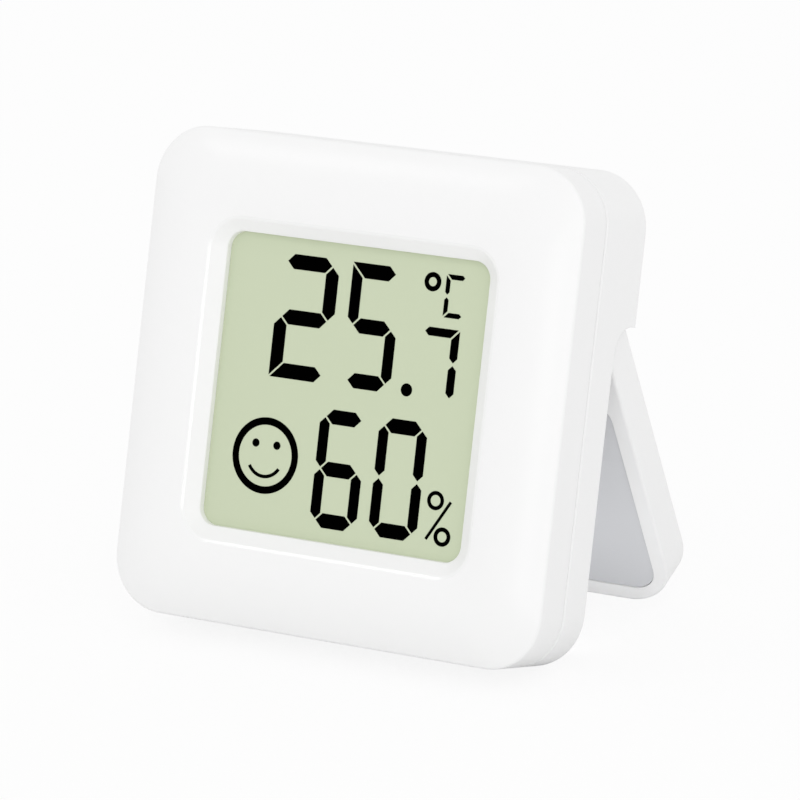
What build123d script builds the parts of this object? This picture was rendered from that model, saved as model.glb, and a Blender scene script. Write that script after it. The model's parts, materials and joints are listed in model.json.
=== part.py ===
from build123d import *
from math import asin, atan2, cos, hypot, radians, sin, sqrt
import os

# Desk temperature and humidity sensor, standing on its open folding stand.
# Millimetres. +Z is up, the front faces -Y, and the origin is the middle of the footprint.
# Depths are measured behind the outer edge of the front, heights from the middle of the face.

# Body
body_side = 60.0
body_corner = 7.0
wall = 1.5
cavity_side = body_side - 2 * wall
cavity_corner = body_corner - wall
front_radius = 0.5
back_radius = 0.3
parting_front = 5.6
parting_back = 5.75
parting_chamfer = 0.22
lower_back = 11.1
upper_back = 15.8

# Tongue of the rear cover inside the front cover, with a snap bead on each side
tongue_side, tongue_corner, tongue_wall = 56.8, 6.9, 1.0
tongue_front, tongue_root = 3.8, 7.0
bead_front, bead_back, bead_height, bead_length, bead_play = 4.3, 4.9, 0.3, 12.0, 0.1

# Domed front frame
crest_half = 22.8
crest_height = 1.9
dome_halves = (30.0, 28.6, 27.0, 25.0, 22.8, 20.5, 18.5)
dome_radius = ((body_side / 2 - crest_half) ** 2 + crest_height**2) / (2 * crest_height)
corner_loss = 0.28

# Sloping recess round the display window
window_width, window_height, window_corner = 36.74, 36.06, 2.2
window_shift = -0.19
window_top = 0.51
recess_width, recess_height, recess_corner = 41.25, 40.35, 4.6
recess_shift = -0.3
recess_top = 2.0

# Folding stand
pivot_depth, pivot_height = 14.45, 8.4
barrel_radius = 3.1
seat_radius = pivot_depth - lower_back
stand_half = 29.5
stand_corner = 7.0
stand_length = 38.0
stand_outer = 2.0
stand_open = 39.5
stand_edge = 0.5
foot_radius = 0.4
standing_flat = 0.04  # depth of the flats where heel and foot touch the ground
top_radius = 1.6
plate_over = 12.0
inlay_width, inlay_corner = 54.8, 3.6
inlay_top, inlay_bottom = -5.0, -35.8
inlay_recess, inlay_thickness, inlay_gap = 0.5, 0.5, 0.05
magnet_width, magnet_height, magnet_thickness, magnet_corner = 18.0, 9.0, 1.5, 0.4
magnet_spacing, magnet_drop, magnet_gap = 27.0, 20.4, 0.1

# Hinge lugs, stub axles and opening stop
lug_offset, lug_width, lug_radius, lug_root = 17.0, 5.0, 1.9, 2.5
lug_clearance = 0.3
notch_drop = 3.5
axle_radius, bore_radius, axle_grip = 1.0, 1.05, 1.9
stop_angle, stop_width, stop_reach, stop_length, stop_half = 117.5, 1.1, 4.3, 2.0, 4.0
pocket_reach, pocket_from, pocket_to = 4.5, 106.5, 167.2

# Display, from its front film backwards
display_centre = (0, window_shift)
film_front, glass_front, glass_middle, glass_back, film_back = 0.5, 0.7, 1.25, 1.8, 2.0
film_size = 38.6
glass_width, front_glass_height, rear_glass_height = 39.8, 41.2, 37.4
ink = 0.03
strip_length, strip_width, strip_height = 36.0, 1.4, 19.7
carrier_width, carrier_height, carrier_corner, carrier_front = 42.6, 43.6, 2.5, 0.6
carrier_opening, cushion_side, display_play = 33.0, 32.0, 0.15

# Display figures: middle lines left, right, top, middle, bottom, then upright and level stroke width
segment_gap = 0.12
first_digit = (-10.3, -3.73, 14.93, 8.2, 1.66, 1.78, 1.82)
second_digit = (-0.25, 5.2, 14.93, 8.28, 1.66, 1.46, 1.82)
third_digit = (9.7, 14.09, 8.81, 5.19, 1.0, 1.09, 1.04)
degree_letter = (12.3, 14.7, 15.53, 13.22, 10.95, 0.58, 0.6)
fourth_digit = (-2.57, 2.62, -3.04, -9.36, -15.62, 1.4, 1.77)
fifth_digit = (5.7, 11.03, -3.04, -9.36, -15.62, 1.38, 1.77)
decimal_point, point_radius = (8.19, 1.45), 0.78
degree_ring, ring_outer, ring_inner = (10.19, 14.69), 1.15, 0.66
percent_rings = ((13.82, -11.13), (15.22, -15.32))
percent_middle, percent_length, percent_width, percent_slant = (14.47, -13.46), 5.6, 0.37, 58.8

# Comfort face: a ring, two dots and an arc
face_middle, face_radius, face_line = (-10.43, -8.9), 4.65, 0.9
eye_offset, eye_height, eye_radius = 1.5, 1.4, 0.5
mouth_centre, mouth_radius, mouth_half, mouth_line = (-10.43, -9.0), 2.45, 58, 0.42

# Board
board_side, board_corner = 51.0, 4.0
board_front, board_back = 3.2, 4.0
post_spacing, post_radius, post_root, post_bore = 45.6, 2.2, 0.2, 2.6
screw_hole, screw_radius, screw_reach = 1.15, 0.8, 2.4
head_radius, head_height, cross_length, cross_width, cross_depth = 1.7, 1.3, 2.0, 0.5, 0.8
slot_width, side_slot, end_slot, slot_distance = 0.8, 4.4, 4.4, 3.0

# Coin cell and its door
cell_centre = (0, -9.5)
cell_radius = 12.25
cell_front, cell_back = 4.45, 9.45
door_radius, door_gap = 14.0, 0.2
door_front, door_back = 9.55, 11.05
plate_front = 9.35
lug_reach, lug_span = 15.1, 5.2
lug_start, unlock_turn = 90, 30

cell_sheet, cell_rounding, cap_radius = 0.3, 0.25, 10.5
cell_inner_front, cap_back, cell_inner_back = cell_front + cell_sheet, 5.55, cell_back - cell_sheet
holder_inner, holder_outer, holder_back = 12.6, 13.9, 8.2
leaf_length, leaf_width, leaf_thickness, dimple_radius, dimple_offset = 15.0, 4.0, 0.2, 1.0, 4.0
clip_width, clip_foot, clip_thickness, clip_reach = 5.0, 2.0, 0.25, 12.29
skirt_outer, skirt_inner, skirt_front, lug_back = 13.7, 12.9, 8.45, 9.2
coin_slot_length, coin_slot_width, coin_slot_depth = 15.0, 1.8, 0.8

# Radio module, display driver, crystal and capacitors
radio_centre, radio_width, radio_height, radio_back = (-13, 17), 12.0, 16.0, 4.8
shield_centre, shield_width, shield_height, shield_back, shield_wall = (-13, 15.2), 10.5, 11.0, 6.8, 0.2
driver_centre, driver_side, driver_thickness = (2, 19), 7.0, 0.9
crystal_centre, crystal_length, crystal_width, crystal_thickness = (-4, 12.5), 3.2, 1.5, 0.8
capacitor_middle, capacitor_columns, capacitor_rows = (9.5, 17), 2.2, 3.0
capacitor_length, capacitor_width, capacitor_thickness = 1.6, 0.8, 0.8

# Pairing switch and button
button_centre = (18, 21)
switch_side, switch_top, switch_well = 6.0, 7.5, 1.1
plunger_radius, plunger_top, plunger_foot, plunger_gap = 1.7, 8.3, 6.9, 0.05
stem_radius, flange_radius, flange_front, flange_back = 1.3, 3.2, 12.9, 13.8
button_radius, button_gap, button_back, button_rounding = 2.4, 0.1, 15.7, 0.3

# Humidity sensor and the vents below it
sensor_x, sensor_height, sensor_side, sensor_thickness, sensor_port = -16.0, -22.3, 2.5, 0.9, 0.4
vent_depth, vent_length, vent_width, vent_pitch, vent_count = 8.2, 2.2, 1.1, 2.6, 6

# The lean at which the lower back edge and the stand's foot both touch the ground
opening = radians(stand_open)
foot_reach, foot_inset = stand_length - foot_radius, barrel_radius - foot_radius
foot_depth = pivot_depth + foot_reach * sin(opening) - foot_inset * cos(opening)
foot_height = pivot_height - foot_reach * cos(opening) - foot_inset * sin(opening)
heel_depth, heel_height = lower_back - back_radius, back_radius - body_side / 2
step_depth, step_height = foot_depth - heel_depth, foot_height - heel_height
lean = atan2(step_height, step_depth) + asin((back_radius - foot_radius) / hypot(step_depth, step_height))

# The footprint's middle lies halfway between the lowest bulge of the dome and the stand's back edge
front_reach = (dome_radius - crest_height) * cos(lean) - crest_half * sin(lean) - dome_radius
tip_reach, tip_inset = stand_length - stand_edge, stand_edge - stand_outer
tip_depth = pivot_depth + tip_reach * sin(opening) - tip_inset * cos(opening)
tip_height = pivot_height - tip_reach * cos(opening) - tip_inset * sin(opening)
back_reach = tip_depth * cos(lean) + tip_height * sin(lean) + stand_edge
face_y = -(front_reach + back_reach) / 2
face_z = heel_depth * sin(lean) - heel_height * cos(lean) + back_radius - standing_flat

FACE = Plane(origin=(0, face_y, face_z), x_dir=(1, 0, 0), z_dir=(0, -cos(lean), sin(lean)))
SIDE = Plane(origin=FACE.origin, x_dir=(0, cos(lean), -sin(lean)), z_dir=(1, 0, 0))
UNDER = Plane(origin=FACE.from_local_coords((0, -body_side / 2 - 1, 0)), x_dir=(1, 0, 0), z_dir=FACE.y_dir)
swing = opening - lean
PIVOT = SIDE.from_local_coords((pivot_depth, pivot_height, 0))
STAND = Plane(origin=PIVOT, x_dir=(-1, 0, 0), z_dir=(0, cos(swing), sin(swing)))
STAND_SIDE = Plane(origin=PIVOT, x_dir=STAND.z_dir, z_dir=(1, 0, 0))

BACKWARD = Axis(FACE.origin, -FACE.z_dir)
UPWARD = Axis(FACE.origin, FACE.y_dir)
OUTWARD = Axis(PIVOT, STAND.z_dir)
ALONG = Axis(PIVOT, STAND.y_dir)


def block(width, height, corner, front, back, centre=(0, 0), mode=Mode.ADD):
    """A rectangular block, its corners rounded if corner isn't 0, between two depths."""
    with BuildSketch(FACE.offset(-back)) as outline:
        with Locations(centre):
            if corner:
                RectangleRounded(width, height, corner)
            else:
                Rectangle(width, height)
    extrude(outline.sketch, amount=back - front, mode=mode)


def disc(radius, front, back, centre=(0, 0), mode=Mode.ADD):
    """A round disc or bore between two depths."""
    with BuildSketch(FACE.offset(-back)) as outline:
        with Locations(centre):
            Circle(radius)
    extrude(outline.sketch, amount=back - front, mode=mode)


def stand_block(width, height, corner, low, high, centre=(0, 0), mode=Mode.ADD):
    """A rounded block in the stand, between two heights above its pivot plane."""
    with BuildSketch(STAND.offset(low)) as outline:
        with Locations(centre):
            RectangleRounded(width, height, corner)
    extrude(outline.sketch, amount=high - low, mode=mode)


def flatten_below():
    """Cuts a piece flat where it touches the ground."""
    with Locations((0, 0, -standing_flat)):
        Box(2 * body_side, 2 * body_side, 2 * standing_flat, mode=Mode.SUBTRACT)


def dome_height(half):
    """Height of the domed frame above the front edge at a distance from the middle."""
    return sqrt(dome_radius**2 - (half - crest_half) ** 2) - dome_radius + crest_height


def finish(piece, label):
    """Names a piece and writes it."""
    piece.part.label = label
    export_step(piece.part, f"parts/{label}.step")


os.makedirs("parts", exist_ok=True)

# Front cover: domed frame, side wall, window, posts for the board
with BuildPart() as front_cover:
    block(body_side, body_side, body_corner, 0, parting_front)
    for half in dome_halves:
        with BuildSketch(FACE.offset(dome_height(half))):
            corner = body_corner - corner_loss * (body_side / 2 - half)
            RectangleRounded(2 * half, 2 * half, corner)
    loft()
    fillet(front_cover.edges().filter_by_position(BACKWARD, -0.01, 0.01), front_radius)
    block(cavity_side, cavity_side, cavity_corner, film_front, parting_front, mode=Mode.SUBTRACT)
    window = (window_width, window_height, window_corner)
    block(*window, -window_top, film_front, display_centre, Mode.SUBTRACT)
    with BuildSketch(FACE.offset(window_top)):
        with Locations(display_centre):
            RectangleRounded(*window)
    with BuildSketch(FACE.offset(recess_top)):
        with Locations((0, recess_shift)):
            RectangleRounded(recess_width, recess_height, recess_corner)
    loft(ruled=True, mode=Mode.SUBTRACT)
    with BuildSketch(FACE.offset(-board_front)):
        with GridLocations(post_spacing, post_spacing, 2, 2):
            Circle(post_radius)
    extrude(amount=board_front - film_front + post_root)
    with BuildSketch(FACE.offset(-board_front)):
        with GridLocations(post_spacing, post_spacing, 2, 2):
            Circle(screw_radius)
    extrude(amount=post_bore, mode=Mode.SUBTRACT)
    with BuildSketch(FACE.offset(-bead_back - bead_play)):
        with PolarLocations(cavity_side / 2, 4):
            Rectangle(2 * bead_height, bead_length + 4 * bead_play)
    extrude(amount=bead_back - bead_front + 2 * bead_play, mode=Mode.SUBTRACT)
finish(front_cover, "front_cover")

# Rear cover: flat shell with the thick upper part, whose lower end is the stand's round seat
with BuildPart() as flat_shell:
    block(body_side, body_side, body_corner, parting_back, lower_back)
    fillet(flat_shell.faces().sort_by(BACKWARD)[-1].edges(), back_radius)

with BuildPart() as rear_cover:
    with BuildSketch(SIDE.offset(-body_side / 2)):
        with BuildLine():
            CenterArc((pivot_depth, pivot_height), seat_radius, 90, 90)
            Polyline(
                (pivot_depth, pivot_height + seat_radius),
                (upper_back, pivot_height + seat_radius),
                (upper_back, body_side / 2),
                (parting_back, body_side / 2),
                (parting_back, pivot_height),
                (lower_back, pivot_height),
            )
        make_face()
    extrude(amount=body_side)
    block(body_side, body_side, body_corner, 0, upper_back + 1, mode=Mode.INTERSECT)
    fillet(rear_cover.faces().sort_by(BACKWARD)[-1].edges(), back_radius)
    add(flat_shell.part)
    chamfer(rear_cover.faces().sort_by(BACKWARD)[0].edges(), parting_chamfer)

    # Hollow: the cavity, deeper in the thick part, and the tongue that fits into the front cover
    block(cavity_side, cavity_side, cavity_corner, 0, plate_front, mode=Mode.SUBTRACT)
    upper_floor = pivot_height + seat_radius + wall
    upper_height = cavity_side / 2 - upper_floor
    upper_middle = (0, upper_floor + upper_height / 2)
    upper_size = (cavity_side, upper_height, cavity_corner)
    block(*upper_size, plate_front - 1, upper_back - wall, upper_middle, Mode.SUBTRACT)
    block(cavity_side + 0.4, cavity_side + 0.4, cavity_corner, parting_back, tongue_root)
    block(tongue_side, tongue_side, tongue_corner, tongue_front, tongue_root)
    with BuildSketch(FACE.offset(-bead_back)):
        with PolarLocations(tongue_side / 2, 4):
            Rectangle(2 * bead_height, bead_length)
    extrude(amount=bead_back - bead_front)
    tongue_inside = tongue_side - 2 * tongue_wall
    block(tongue_inside, tongue_inside, tongue_corner - tongue_wall, 0, tongue_root, mode=Mode.SUBTRACT)

    # Door opening with three entries for the door's lugs, button hole, vents under the sensor
    disc(door_radius + door_gap, door_front - 2, lower_back + 1, cell_centre, Mode.SUBTRACT)
    with BuildSketch(FACE.offset(-lower_back - 1)):
        with Locations(cell_centre):
            with PolarLocations(door_radius, 3, start_angle=lug_start - unlock_turn):
                Rectangle(2 * (lug_reach - door_radius) + 0.6, lug_span + 1.4)
    extrude(amount=3, mode=Mode.SUBTRACT)
    disc(button_radius + button_gap, upper_back - 2, upper_back + 1, button_centre, Mode.SUBTRACT)
    with BuildSketch(UNDER):
        with Locations((sensor_x, vent_depth)):
            with GridLocations(vent_pitch, 0, vent_count, 1):
                SlotOverall(vent_length, vent_width, rotation=90)
    extrude(amount=wall + 1.4, mode=Mode.SUBTRACT)

    # Hinge lugs with bores, and the pocket for the stand's opening stop
    for side in (-1, 1):
        with BuildSketch(SIDE.offset(side * lug_offset - lug_width / 2)):
            with Locations((pivot_depth, pivot_height)):
                Circle(lug_radius)
            Polygon(
                (lower_back - 0.4, pivot_height - lug_root),
                (pivot_depth, pivot_height - lug_radius),
                (pivot_depth, pivot_height + lug_radius),
                (lower_back - 0.4, pivot_height + lug_root),
                align=None,
            )
            with Locations((pivot_depth, pivot_height)):
                Circle(bore_radius, mode=Mode.SUBTRACT)
        extrude(amount=lug_width)
    with BuildSketch(SIDE.offset(-stop_half - lug_clearance)):
        with Locations((pivot_depth, pivot_height)):
            Circle(pocket_reach)
            wedge = [(0, 0)]
            for angle in (pocket_from, (pocket_from + pocket_to) / 2, pocket_to):
                far = 2 * pocket_reach
                wedge.append((far * cos(radians(angle)), far * sin(radians(angle))))
            Polygon(*wedge, align=None, mode=Mode.INTERSECT)
    extrude(amount=2 * (stop_half + lug_clearance), mode=Mode.SUBTRACT)
    flatten_below()
finish(rear_cover, "rear_cover")

# Display: films, glasses and the darkened segments on the front film
with BuildPart() as display_front_polariser:
    block(film_size, film_size, 0, film_front, glass_front, display_centre)
finish(display_front_polariser, "display_front_polariser")

with BuildPart() as display_front_glass:
    block(glass_width, front_glass_height, 0, glass_front, glass_middle, display_centre)
finish(display_front_glass, "display_front_glass")

with BuildPart() as display_rear_glass:
    block(glass_width, rear_glass_height, 0, glass_middle, glass_back, display_centre)
finish(display_rear_glass, "display_rear_glass")

with BuildPart() as display_reflector:
    block(film_size, rear_glass_height - 1, 0, glass_back, film_back, display_centre)
finish(display_reflector, "display_reflector")


def upright_bar(x, top, bottom, width):
    """An upright display segment with pointed ends, round the line x."""
    half = width / 2
    Polygon(
        (x, top),
        (x + half, top - half),
        (x + half, bottom + half),
        (x, bottom),
        (x - half, bottom + half),
        (x - half, top - half),
        align=None,
    )


def level_bar(left, right, height, width):
    """A level display segment with pointed ends."""
    half = width / 2
    Polygon(
        (left, height),
        (left + half, height + half),
        (right - half, height + half),
        (right, height),
        (right - half, height - half),
        (left + half, height - half),
        align=None,
    )


def mitre(x, y, side, way, upright, level):
    """Squares off the corner where an upright and a level segment meet, to the side and up or down."""
    half, tip = upright / 2, y - way * segment_gap
    Polygon((x, tip), (x + side * half, tip - way * half), (x + side * half, tip + way * half), align=None)
    half, tip = level / 2, x - side * segment_gap
    Polygon((tip, y), (tip - side * half, y + way * half), (tip + side * half, y + way * half), align=None)


def figure(lit, left, right, top, middle, bottom, upright, level):
    """A seven-segment figure of the named segments, placed by the middle lines of its strokes."""
    for name, height in (("a", top), ("g", middle), ("d", bottom)):
        if name in lit:
            level_bar(left + segment_gap, right - segment_gap, height, level)
    for name, x, high, low in (
        ("f", left, top, middle),
        ("b", right, top, middle),
        ("e", left, middle, bottom),
        ("c", right, middle, bottom),
    ):
        if name in lit:
            upright_bar(x, high - segment_gap, low + segment_gap, upright)


with BuildPart() as display_segments:
    with BuildSketch(FACE.offset(-film_front)):
        figure("abged", *first_digit)
        figure("afgcd", *second_digit)
        figure("abc", *third_digit)
        figure("afed", *degree_letter)
        mitre(first_digit[0], first_digit[4], -1, -1, *first_digit[5:])
        mitre(second_digit[0], second_digit[2], -1, 1, *second_digit[5:])
        mitre(third_digit[1], third_digit[2], 1, 1, *third_digit[5:])
        mitre(degree_letter[0], degree_letter[2], -1, 1, *degree_letter[5:])
        mitre(degree_letter[0], degree_letter[4], -1, -1, *degree_letter[5:])
        figure("afgecd", *fourth_digit)
        figure("abcdef", *fifth_digit)
        with Locations(decimal_point):
            Circle(point_radius)
        with Locations(degree_ring, *percent_rings):
            Circle(ring_outer)
            Circle(ring_inner, mode=Mode.SUBTRACT)
        with Locations(percent_middle):
            Rectangle(percent_length, percent_width, rotation=percent_slant)
        with Locations(face_middle):
            Circle(face_radius)
            Circle(face_radius - face_line, mode=Mode.SUBTRACT)
            with GridLocations(2 * eye_offset, 0, 2, 1):
                with Locations((0, eye_height)):
                    Circle(eye_radius)
        with BuildLine():
            CenterArc(mouth_centre, mouth_radius, -90 - mouth_half, 2 * mouth_half)
            offset(amount=mouth_line / 2, side=Side.BOTH)
        make_face()
    extrude(amount=ink)
finish(display_segments, "display_segments")

# Display carrier: frame round the glass, open behind it for the cushion and the contact strips
with BuildPart() as display_holder:
    block(carrier_width, carrier_height, carrier_corner, carrier_front, board_front, display_centre)
    glass_room = (glass_width + 2 * display_play, front_glass_height + 2 * display_play)
    block(*glass_room, 0, 0, film_back + 0.05, display_centre, Mode.SUBTRACT)
    block(carrier_opening, carrier_opening, 1, 0, board_front, display_centre, Mode.SUBTRACT)
    for side in (-1, 1):
        strip_centre = (0, window_shift + side * strip_height)
        strip_room = (strip_length + 2 * display_play, strip_width + display_play)
        block(*strip_room, 0, 0, board_front, strip_centre, Mode.SUBTRACT)
finish(display_holder, "display_holder")

with BuildPart() as display_cushion:
    block(cushion_side, cushion_side, 1, film_back, board_front, display_centre)
finish(display_cushion, "display_cushion")

with BuildPart() as contact_strips:
    for side in (-1, 1):
        strip_centre = (0, window_shift + side * strip_height)
        block(strip_length, strip_width, 0, glass_middle, board_front, strip_centre)
finish(contact_strips, "contact_strips")

# Main board, with a slot that keeps its warmth from the humidity sensor
with BuildPart() as main_board:
    block(board_side, board_side, board_corner, board_front, board_back)
    with BuildSketch(FACE.offset(-board_back)):
        with GridLocations(post_spacing, post_spacing, 2, 2):
            Circle(screw_hole)
        with Locations((sensor_x, sensor_height)):
            with GridLocations(2 * slot_distance, 0, 2, 1):
                SlotOverall(side_slot, slot_width, rotation=90)
            with Locations((0, slot_distance)):
                SlotOverall(end_slot, slot_width)
    extrude(amount=board_back - board_front, mode=Mode.SUBTRACT)
finish(main_board, "main_board")

with BuildPart() as board_screws:
    with BuildSketch(FACE.offset(-board_back)):
        with GridLocations(post_spacing, post_spacing, 2, 2):
            Circle(screw_radius)
    extrude(amount=board_back - board_front + screw_reach)
    with BuildSketch(FACE.offset(-board_back - head_height)):
        with GridLocations(post_spacing, post_spacing, 2, 2):
            Circle(head_radius)
    extrude(amount=head_height)
    with BuildSketch(FACE.offset(-board_back - head_height)):
        with GridLocations(post_spacing, post_spacing, 2, 2):
            Rectangle(cross_length, cross_width)
            Rectangle(cross_width, cross_length)
    extrude(amount=cross_depth, mode=Mode.SUBTRACT)
finish(board_screws, "board_screws")

with BuildPart() as radio_board:
    block(radio_width, radio_height, 0, board_back, radio_back, radio_centre)
finish(radio_board, "radio_board")

with BuildPart() as radio_shield:
    inside = (shield_width - 2 * shield_wall, shield_height - 2 * shield_wall)
    block(shield_width, shield_height, 0.5, radio_back, shield_back, shield_centre)
    block(*inside, 0.3, radio_back, shield_back - shield_wall, shield_centre, Mode.SUBTRACT)
finish(radio_shield, "radio_shield")

with BuildPart() as display_driver:
    block(driver_side, driver_side, 0, board_back, board_back + driver_thickness, driver_centre)
finish(display_driver, "display_driver")

with BuildPart() as crystal:
    crystal_back = board_back + crystal_thickness
    block(crystal_length, crystal_width, 0.3, board_back, crystal_back, crystal_centre)
finish(crystal, "crystal")

with BuildPart() as board_capacitors:
    with BuildSketch(FACE.offset(-board_back - capacitor_thickness)):
        with Locations(capacitor_middle):
            with GridLocations(capacitor_columns, capacitor_rows, 2, 4):
                Rectangle(capacitor_width, capacitor_length)
    extrude(amount=capacitor_thickness)
finish(board_capacitors, "board_capacitors")

with BuildPart() as humidity_sensor:
    sensor_back = board_back + sensor_thickness
    sensor_middle = (sensor_x, sensor_height)
    block(sensor_side, sensor_side, 0, board_back, sensor_back, sensor_middle)
    disc(sensor_port, sensor_back - 0.3, sensor_back, sensor_middle, Mode.SUBTRACT)
finish(humidity_sensor, "humidity_sensor")

# Pairing switch and button: cap, flange behind the wall, stem down to the plunger
with BuildPart() as switch_body:
    block(switch_side, switch_side, 0, board_back, switch_top, button_centre)
    disc(plunger_radius + plunger_gap, switch_top - switch_well, switch_top, button_centre, Mode.SUBTRACT)
finish(switch_body, "switch_body")

with BuildPart() as switch_plunger:
    disc(plunger_radius, plunger_foot, plunger_top, button_centre)
finish(switch_plunger, "switch_plunger")

with BuildPart() as button_cap:
    disc(stem_radius, plunger_top, flange_front, button_centre)
    disc(flange_radius, flange_front, flange_back, button_centre)
    disc(button_radius, flange_back, button_back, button_centre)
    fillet(button_cap.edges().sort_by(BACKWARD)[-1], button_rounding)
finish(button_cap, "button_cap")

# Coin cell, its holder and contacts
with BuildPart() as cell_can:
    disc(cell_radius, cell_inner_front, cell_back, cell_centre)
    disc(cell_radius - cell_sheet, cell_inner_front, cell_inner_back, cell_centre, Mode.SUBTRACT)
    fillet(cell_can.edges().sort_by(BACKWARD)[-1], cell_rounding)
finish(cell_can, "cell_can")

with BuildPart() as cell_gasket:
    disc(cell_radius - cell_sheet, cell_inner_front, cap_back, cell_centre)
    disc(cap_radius, cell_inner_front, cap_back, cell_centre, Mode.SUBTRACT)
finish(cell_gasket, "cell_gasket")

with BuildPart() as cell_cap:
    disc(cap_radius, cell_front, cap_back, cell_centre)
    disc(cap_radius - cell_sheet, cell_inner_front, cap_back, cell_centre, Mode.SUBTRACT)
finish(cell_cap, "cell_cap")

with BuildPart() as cell_electrodes:
    disc(cell_radius - cell_sheet, cap_back, cell_inner_back, cell_centre)
    disc(cap_radius - cell_sheet, cell_inner_front, cap_back, cell_centre)
finish(cell_electrodes, "cell_electrodes")

with BuildPart() as cell_holder:
    clip_centre = (cell_centre[0] + (holder_inner + holder_outer) / 2, cell_centre[1])
    disc(holder_outer, board_back, holder_back, cell_centre)
    disc(holder_inner, board_back, holder_back, cell_centre, Mode.SUBTRACT)
    block(3, clip_width + 1, 0, board_back, holder_back, clip_centre, Mode.SUBTRACT)
finish(cell_holder, "cell_holder")

with BuildPart() as negative_contact:
    block(leaf_length, leaf_width, 0.5, board_back, board_back + leaf_thickness, cell_centre)
    for side in (-1, 1):
        dimple_centre = (cell_centre[0] + side * dimple_offset, cell_centre[1])
        disc(dimple_radius, board_back, cell_front, dimple_centre)
finish(negative_contact, "negative_contact")

with BuildPart() as positive_contact:
    foot_centre = (cell_centre[0] + clip_reach + clip_foot / 2, cell_centre[1])
    leaf_centre = (cell_centre[0] + clip_reach + clip_thickness / 2, cell_centre[1])
    block(clip_foot, clip_width, 0, board_back, board_back + leaf_thickness, foot_centre)
    block(clip_thickness, clip_width, 0, board_back, holder_back, leaf_centre)
finish(positive_contact, "positive_contact")

# Twist-lock door: disc, skirt, three lugs under the plate, coin slot outside
with BuildPart() as battery_door:
    disc(door_radius, door_front, door_back, cell_centre)
    disc(skirt_outer, skirt_front, door_front, cell_centre)
    with BuildSketch(FACE.offset(-lug_back)):
        with Locations(cell_centre):
            with PolarLocations(0, 3, start_angle=lug_start):
                with Locations((lug_reach / 2, 0)):
                    Rectangle(lug_reach, lug_span)
    extrude(amount=lug_back - skirt_front)
    disc(skirt_inner, skirt_front, door_front, cell_centre, Mode.SUBTRACT)
    with BuildSketch(FACE.offset(-door_back)):
        with Locations(cell_centre):
            SlotOverall(coin_slot_length, coin_slot_width)
    extrude(amount=coin_slot_depth, mode=Mode.SUBTRACT)
finish(battery_door, "battery_door")

# Stand: rounded plate cut to a side profile with the round barrel on top
with BuildPart() as stand_frame:
    plate_height = stand_length + plate_over
    plate_middle = (0, plate_over - plate_height / 2)
    stand_block(2 * stand_half, plate_height, stand_corner, -barrel_radius, stand_outer, plate_middle)
    fillet(stand_frame.faces().sort_by(OUTWARD)[-1].edges(), stand_edge)
    fillet(stand_frame.faces().sort_by(OUTWARD)[0].edges(), foot_radius)
    with BuildSketch(STAND_SIDE.offset(-stand_half)):
        with BuildLine():
            Polyline(
                (-barrel_radius, 0),
                (-barrel_radius, -stand_length),
                (stand_outer, -stand_length),
                (stand_outer, barrel_radius - top_radius),
            )
            CenterArc((stand_outer - top_radius, barrel_radius - top_radius), top_radius, 0, 90)
            Line((stand_outer - top_radius, barrel_radius), (0, barrel_radius))
            CenterArc((0, 0), barrel_radius, 90, 90)
        make_face()
    extrude(amount=2 * stand_half, mode=Mode.INTERSECT)

    # Recess for the inlay, pockets for the magnets
    inlay_middle = (0, (inlay_top + inlay_bottom) / 2)
    inlay_floor = inlay_recess + inlay_thickness - barrel_radius
    recess_size = (inlay_width, inlay_top - inlay_bottom, inlay_corner)
    stand_block(*recess_size, -barrel_radius, inlay_floor, inlay_middle, Mode.SUBTRACT)
    for side in (-1, 1):
        pocket_middle = (side * magnet_spacing / 2, -magnet_drop)
        pocket_size = (magnet_width + 2 * magnet_gap, magnet_height + 2 * magnet_gap, magnet_corner)
        pocket_floor = inlay_floor + magnet_thickness
        stand_block(*pocket_size, inlay_floor, pocket_floor, pocket_middle, Mode.SUBTRACT)

    # Notches, axles, stop
    for side in (-1, 1):
        notch_width = lug_width + 2 * lug_clearance
        with BuildSketch(STAND_SIDE.offset(side * lug_offset - notch_width / 2)):
            with Locations((0, (2 * barrel_radius - notch_drop) / 2)):
                Rectangle(4 * barrel_radius, 2 * barrel_radius + notch_drop)
        extrude(amount=notch_width, mode=Mode.SUBTRACT)
        for wall_side in (-1, 1):
            wall_x = side * lug_offset + wall_side * notch_width / 2
            with BuildSketch(STAND_SIDE.offset(wall_x)):
                Circle(axle_radius)
            extrude(amount=-wall_side * (axle_grip + lug_clearance))
    with BuildSketch(STAND_SIDE.offset(-stop_half)):
        with PolarLocations(stop_reach - stop_length / 2, 1, start_angle=stop_angle):
            Rectangle(stop_length, stop_width)
    extrude(amount=2 * stop_half)
    flatten_below()
finish(stand_frame, "stand_frame")

with BuildPart() as stand_inlay:
    inlay_height = inlay_top - inlay_bottom - 2 * inlay_gap
    inlay_size = (inlay_width - 2 * inlay_gap, inlay_height, inlay_corner - inlay_gap)
    stand_block(*inlay_size, inlay_recess - barrel_radius, inlay_floor, inlay_middle)
finish(stand_inlay, "stand_inlay")

with BuildPart() as stand_magnets:
    for side in (-1, 1):
        pocket_middle = (side * magnet_spacing / 2, -magnet_drop)
        magnet_size = (magnet_width, magnet_height, magnet_corner)
        stand_block(*magnet_size, inlay_floor, inlay_floor + magnet_thickness, pocket_middle)
finish(stand_magnets, "stand_magnets")
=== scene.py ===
import json
import math

import bmesh
import bpy
from mathutils import Matrix, Vector

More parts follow.
